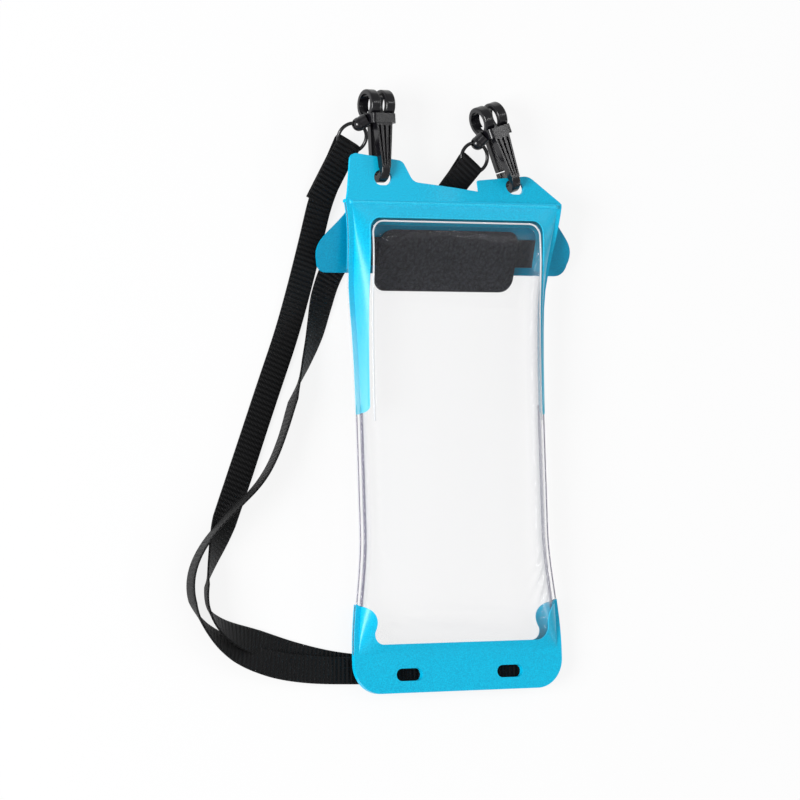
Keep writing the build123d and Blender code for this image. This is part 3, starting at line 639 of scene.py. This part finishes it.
# Each point: x, y and the lower edge's height in mm, then the roll in degrees.
ROUTE = [
    (-50.5, 184.0, 1.3, 2),
    (-55.0, 167.0, 0.4, 0),
    (-60.5, 149.5, 0.3, 0),
    (-66.5, 132.0, 0.2, 0),
    (-73.8, 114.5, 0.0, 0),
    (-80.6, 98.0, 0.0, 0),
    (-87.6, 81.0, 0.0, 2),
    (-94.6, 64.5, 0.2, 0),
    (-101.0, 52.5, 0.2, -38),
    (-105.2, 41.0, 0.0, -70),
    (-104.6, 31.5, 0.0, -66),
    (-96.6, 24.6, 0.0, -42),
    (-82.0, 19.8, 0.0, -12),
    (-66.0, 14.4, 0.0, 0),
    (-46.0, 10.0, 0.0, 0),
    (-22.0, 8.6, 0.0, 0),
    (2.0, 9.0, 0.0, 0),
    (21.0, 8.8, 0.0, 0),
    (35.0, 8.6, 0.05, 0),
    (35.0, 8.6, 2.2, 0),
    (21.0, 8.6, 1.4, 0),
    (2.0, 8.8, 1.2, 0),
    (-22.0, 8.4, 1.2, 0),
    (-44.0, 8.8, 1.3, 0),
    (-62.0, 9.6, 1.7, 0),
    (-78.0, 12.0, 2.0, 8),
    (-93.0, 17.0, 0.9, 28),
    (-105.0, 25.0, 0.2, 56),
    (-111.4, 35.0, 0.0, 77),
    (-111.4, 46.0, 0.0, 78),
    (-105.8, 57.0, 1.2, 80),
    (-95.0, 67.6, 2.6, 82),
    (-84.6, 76.0, 2.4, 81),
    (-76.8, 84.8, 0.4, 78),
    (-71.4, 95.6, 0.0, 77),
    (-67.0, 108.0, 0.0, 80),
    (-61.0, 121.0, 0.1, 46),
    (-55.4, 133.0, 0.1, 22),
    (-51.5, 145.0, 0.0, 4),
    (-47.0, 155.5, 0.0, 0),
    (-40.0, 164.5, 0.0, 0),
    (-29.0, 170.0, 0.0, 0),
    (-16.0, 173.5, 0.1, 0),
    (-3.0, 177.0, 0.9, 0),
]

# %% [markdown]
# ### Where the strap holds its rings
# Each ring's centre, radius and plane are read from its own solid. The webbing wraps the wire at the point
# nearest to the strap's way, and runs back on itself for 17 mm, where it is sewn.

# %% Folds
route = np.array(ROUTE)
route[:, 1] -= BACK_CENTRE_Y
roll = np.radians(route[:, 3])
middle = route[:, :3].copy()
middle[:, 2] += STRAP_WIDTH / 2 * np.abs(np.sin(roll)) + STRAP_THICK / 2 * np.abs(np.cos(roll))
middle *= MM


def ring_facts(side):
    """Centre, radius to the wire's middle, and plane normal, from the ring's own points."""
    mesh = NODES[f"ring_{side}"].data
    points = np.empty(len(mesh.vertices) * 3)
    mesh.vertices.foreach_get("co", points)
    points = np.unique(np.round(points.reshape(-1, 3), 6), axis=0)
    box_centre = (points.min(0) + points.max(0)) / 2
    normal = np.linalg.svd(points - box_centre, full_matrices=False)[2][2]
    normal *= np.sign(normal[2])
    centre = points.mean(0)
    reach = np.linalg.norm(points - centre, axis=1)
    return centre, (reach.min() + reach.max()) / 2, normal


def fold_frame(side):
    """Point where the strap holds the ring, and the fold's axes along its run, thickness and width."""
    centre, radius, normal = ring_facts(side)
    near = middle[0] if side == "left" else middle[-1]
    aim = near - centre
    way = aim - normal * (aim @ normal)
    start = centre + way / np.linalg.norm(way) * radius
    along = (near - start) / np.linalg.norm(near - start)
    width = np.cross(normal, along)
    width /= np.linalg.norm(width)
    return start, along, np.cross(width, along), width


folds = {side: fold_frame(side) for side in ("left", "right")}
FOLD_START = 10.0 * MM
ends = [folds[s][0] + folds[s][1] * FOLD_START for s in ("left", "right")]
print("folds", {s: np.round(folds[s][0] / MM, 2).tolist() for s in folds})

# %% [markdown]
# ### The strap's line
# An order-3 NURBS keeps to its control points closely and has no straight runs joined by arcs.

# %% Line of the strap
control = np.vstack([ends[0], middle, ends[1]])
control_roll = np.concatenate([[0.0], roll, [0.0]])
curve = bpy.data.curves.new("strap_line", "CURVE")
curve.dimensions = "3D"
curve.resolution_u = 10
spline = curve.splines.new("NURBS")
spline.points.add(len(control) - 1)
spline.points.foreach_set("co", np.hstack([control, np.ones((len(control), 1))]).ravel())
spline.order_u = 3
spline.use_endpoint_u = True
line_object = bpy.data.objects.new("strap_line", curve)
line_mesh = bpy.data.meshes.new_from_object(line_object)
line = np.empty(len(line_mesh.vertices) * 3)
line_mesh.vertices.foreach_get("co", line)
line = line.reshape(-1, 3)
bpy.data.objects.remove(line_object)
steps = np.linalg.norm(np.diff(line, axis=0), axis=1)
walked = np.concatenate([[0], np.cumsum(steps)])
print("strap line", round(walked[-1], 4), "points", len(line))

# %% [markdown]
# ### The webbing's surface
# The cross-section is a flat oval, 10 by 1 mm with rounded edges. It is carried along the line. Its width
# starts level and turns by the roll about the line's own direction.

# %% Ribbon
# Where less than this share of the line's direction is level, its width comes from the points on either side.
STEEP = 0.5


def level_frames(points, rolls):
    """Directions wide and thick at each point. Wide is level across the line, then turned by the roll."""
    along = np.gradient(points, axis=0)
    along /= np.linalg.norm(along, axis=1)[:, None]
    flat = np.cross([0.0, 0.0, 1.0], along)
    size = np.linalg.norm(flat, axis=1)
    good = size > STEEP
    where = np.arange(len(points))
    sign = np.ones(len(points))
    unit = np.where(good[:, None], flat / np.maximum(size, 1e-9)[:, None], 0)
    kept = where[good]
    flips = np.sum(unit[kept][1:] * unit[kept][:-1], axis=1) < 0
    sign[kept] = np.cumprod(np.where(np.concatenate([[False], flips]), -1, 1))
    unit = unit * sign[:, None]
    wide = np.stack([np.interp(where, kept, unit[kept, k]) for k in range(3)], axis=1)
    wide -= along * np.sum(wide * along, axis=1)[:, None]
    wide /= np.linalg.norm(wide, axis=1)[:, None]
    thick = np.cross(along, wide)
    wide_turned = wide * np.cos(rolls)[:, None] + thick * np.sin(rolls)[:, None]
    return wide_turned, np.cross(along, wide_turned)


nearest = np.argmin(np.linalg.norm(line[:, None] - control[None], axis=2), axis=0)
nearest = np.maximum.accumulate(nearest) + np.arange(len(nearest)) * 1e-6
line_roll = np.interp(np.arange(len(line)), nearest, control_roll)
wide, thick = level_frames(line, line_roll)
neck_strap = tube_mesh("neck_strap_webbing", line, wide, thick, *STRAP_SECTION, WEBBING)
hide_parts("neck_strap")
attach(neck_strap, "case")

# %% [markdown]
# ### The sewn ends
# Each end of the webbing goes round the ring's wire and back, flat where three rows of thread hold it.

# %% Folded ends and thread
FOLD_TAPER, FOLD_LENGTH, LOOP_R, LOOP_X = 5.0, 17.0, 1.6, -2.3
LAYER_Z, FOLD_UV_START = 0.52, 0.9


def fold_profile():
    """Middle line of the folded webbing in the fold's plane: flat, out to an arc round the wire, and back."""
    arc = np.radians(np.linspace(100, 260, 24))
    loop = np.stack([LOOP_X + LOOP_R * np.cos(arc), LOOP_R * np.sin(arc)], axis=1)
    run = np.linspace(FOLD_TAPER + FOLD_LENGTH, FOLD_TAPER, 12)
    top = np.stack([run, 0 * run + LAYER_Z], axis=1)
    return np.vstack([top, loop, top[::-1] * [1, -1]])


def folded_end(side):
    """The webbing folded round one ring, in that ring's fold axes."""
    start, along, over, width = folds[side]
    flat = fold_profile() * MM
    points = start + flat[:, :1] * along + flat[:, 1:] * over
    direction = np.gradient(points, axis=0)
    direction /= np.linalg.norm(direction, axis=1)[:, None]
    wides = np.tile(width, (len(points), 1))
    thicks = np.cross(direction, wides)
    piece = tube_mesh(f"strap_end_{side}", points, wides, thicks, *STRAP_SECTION, WEBBING, FOLD_UV_START)
    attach(piece, "case")
    return piece


strap_ends = [folded_end(side) for side in ("left", "right")]
threads = [stand_in(f"strap_stitching_{side}", THREAD, "case") for side in ("left", "right")]

# %% [markdown]
# ## Floor and light
# A plain pale floor and four soft lamps: a large key from the left, a weak fill from above the foot, and two
# narrow strips, at the right and above the mouth, for long highlights. Where the camera sees the floor, also
# by reflection or through film, the floor mostly glows white, like the paper of a light tent.

# %% Floor
FLOOR_GAP, FLOOR_HALF, GLOW_SHARE = 0.0001, 3, 0.85
corners = [(x * FLOOR_HALF, y * FLOOR_HALF, 0) for x, y in ((-1, -1), (1, -1), (1, 1), (-1, 1))]
floor_mesh = bpy.data.meshes.new("floor")
floor_mesh.from_pydata(corners, [], [(0, 1, 2, 3)])
floor = bpy.data.objects.new("floor", floor_mesh)
floor_mesh.transform(Matrix.Translation((0, 0, min(CAD_BOX[0][2], 0.0) - FLOOR_GAP)))
bpy.context.collection.objects.link(floor)
paper, paper_shader = new_material("white_paper_floor", {"Base Color": linear("#F3F3F4"), "Roughness": 0.9})
glow = node(paper, "ShaderNodeEmission", {"Color": linear("#FFFFFF"), "Strength": 1.0})
rays = node(paper, "ShaderNodeLightPath").outputs
direct = maths(paper, "ADD", rays["Is Camera Ray"], rays["Is Glossy Ray"], clamp=True)
seen = maths(paper, "ADD", direct, rays["Is Transmission Ray"], clamp=True)
share = maths(paper, "MULTIPLY", seen, GLOW_SHARE)
blend = node(paper, "ShaderNodeMixShader", _0=share, _1=paper_shader.outputs[0], _2=glow.outputs[0])
paper.node_tree.links.new(blend.outputs[0], paper.node_tree.nodes["Material Output"].inputs[0])
floor_mesh.materials.append(paper)

# %% Lamps
def lamp(name, place, aim, size, power):
    """A soft box at place, facing aim, whose width is level and whose height runs with the case."""
    data = bpy.data.lights.new(name, "AREA")
    data.shape = "RECTANGLE"
    data.size, data.size_y = size
    data.energy = power
    made = bpy.data.objects.new(name, data)
    back = (Vector(place) - Vector(aim)).normalized()
    level = Vector((0, 1, 0)).cross(back).normalized()
    axes = Matrix((level, back.cross(level), back)).transposed().to_4x4()
    made.matrix_world = Matrix.Translation(place) @ axes
    bpy.context.collection.objects.link(made)


lamp("key_softbox", (-1.7, -0.1, 0.85), (0, 0.02, 0), (0.7, 0.9), 40)
lamp("fill_softbox", (0.35, -1.0, 1.7), (0, 0.02, 0), (1.0, 1.0), 2.0)
lamp("side_strip", (1.25, 0.05, 0.6), (0, 0.05, 0), (0.06, 1.4), 3.0)
lamp("top_strip", (0.77, 0.46, 1.22), (0, 0.06, 0), (1.0, 0.035), 1.6)
world = bpy.data.worlds.new("studio")
world.use_nodes = True
background = world.node_tree.nodes["Background"]
background.inputs["Color"].default_value = linear("#FFFFFF")
background.inputs["Strength"].default_value = 0.4
bpy.context.scene.world = world
bpy.context.scene.view_settings.view_transform = "Standard"
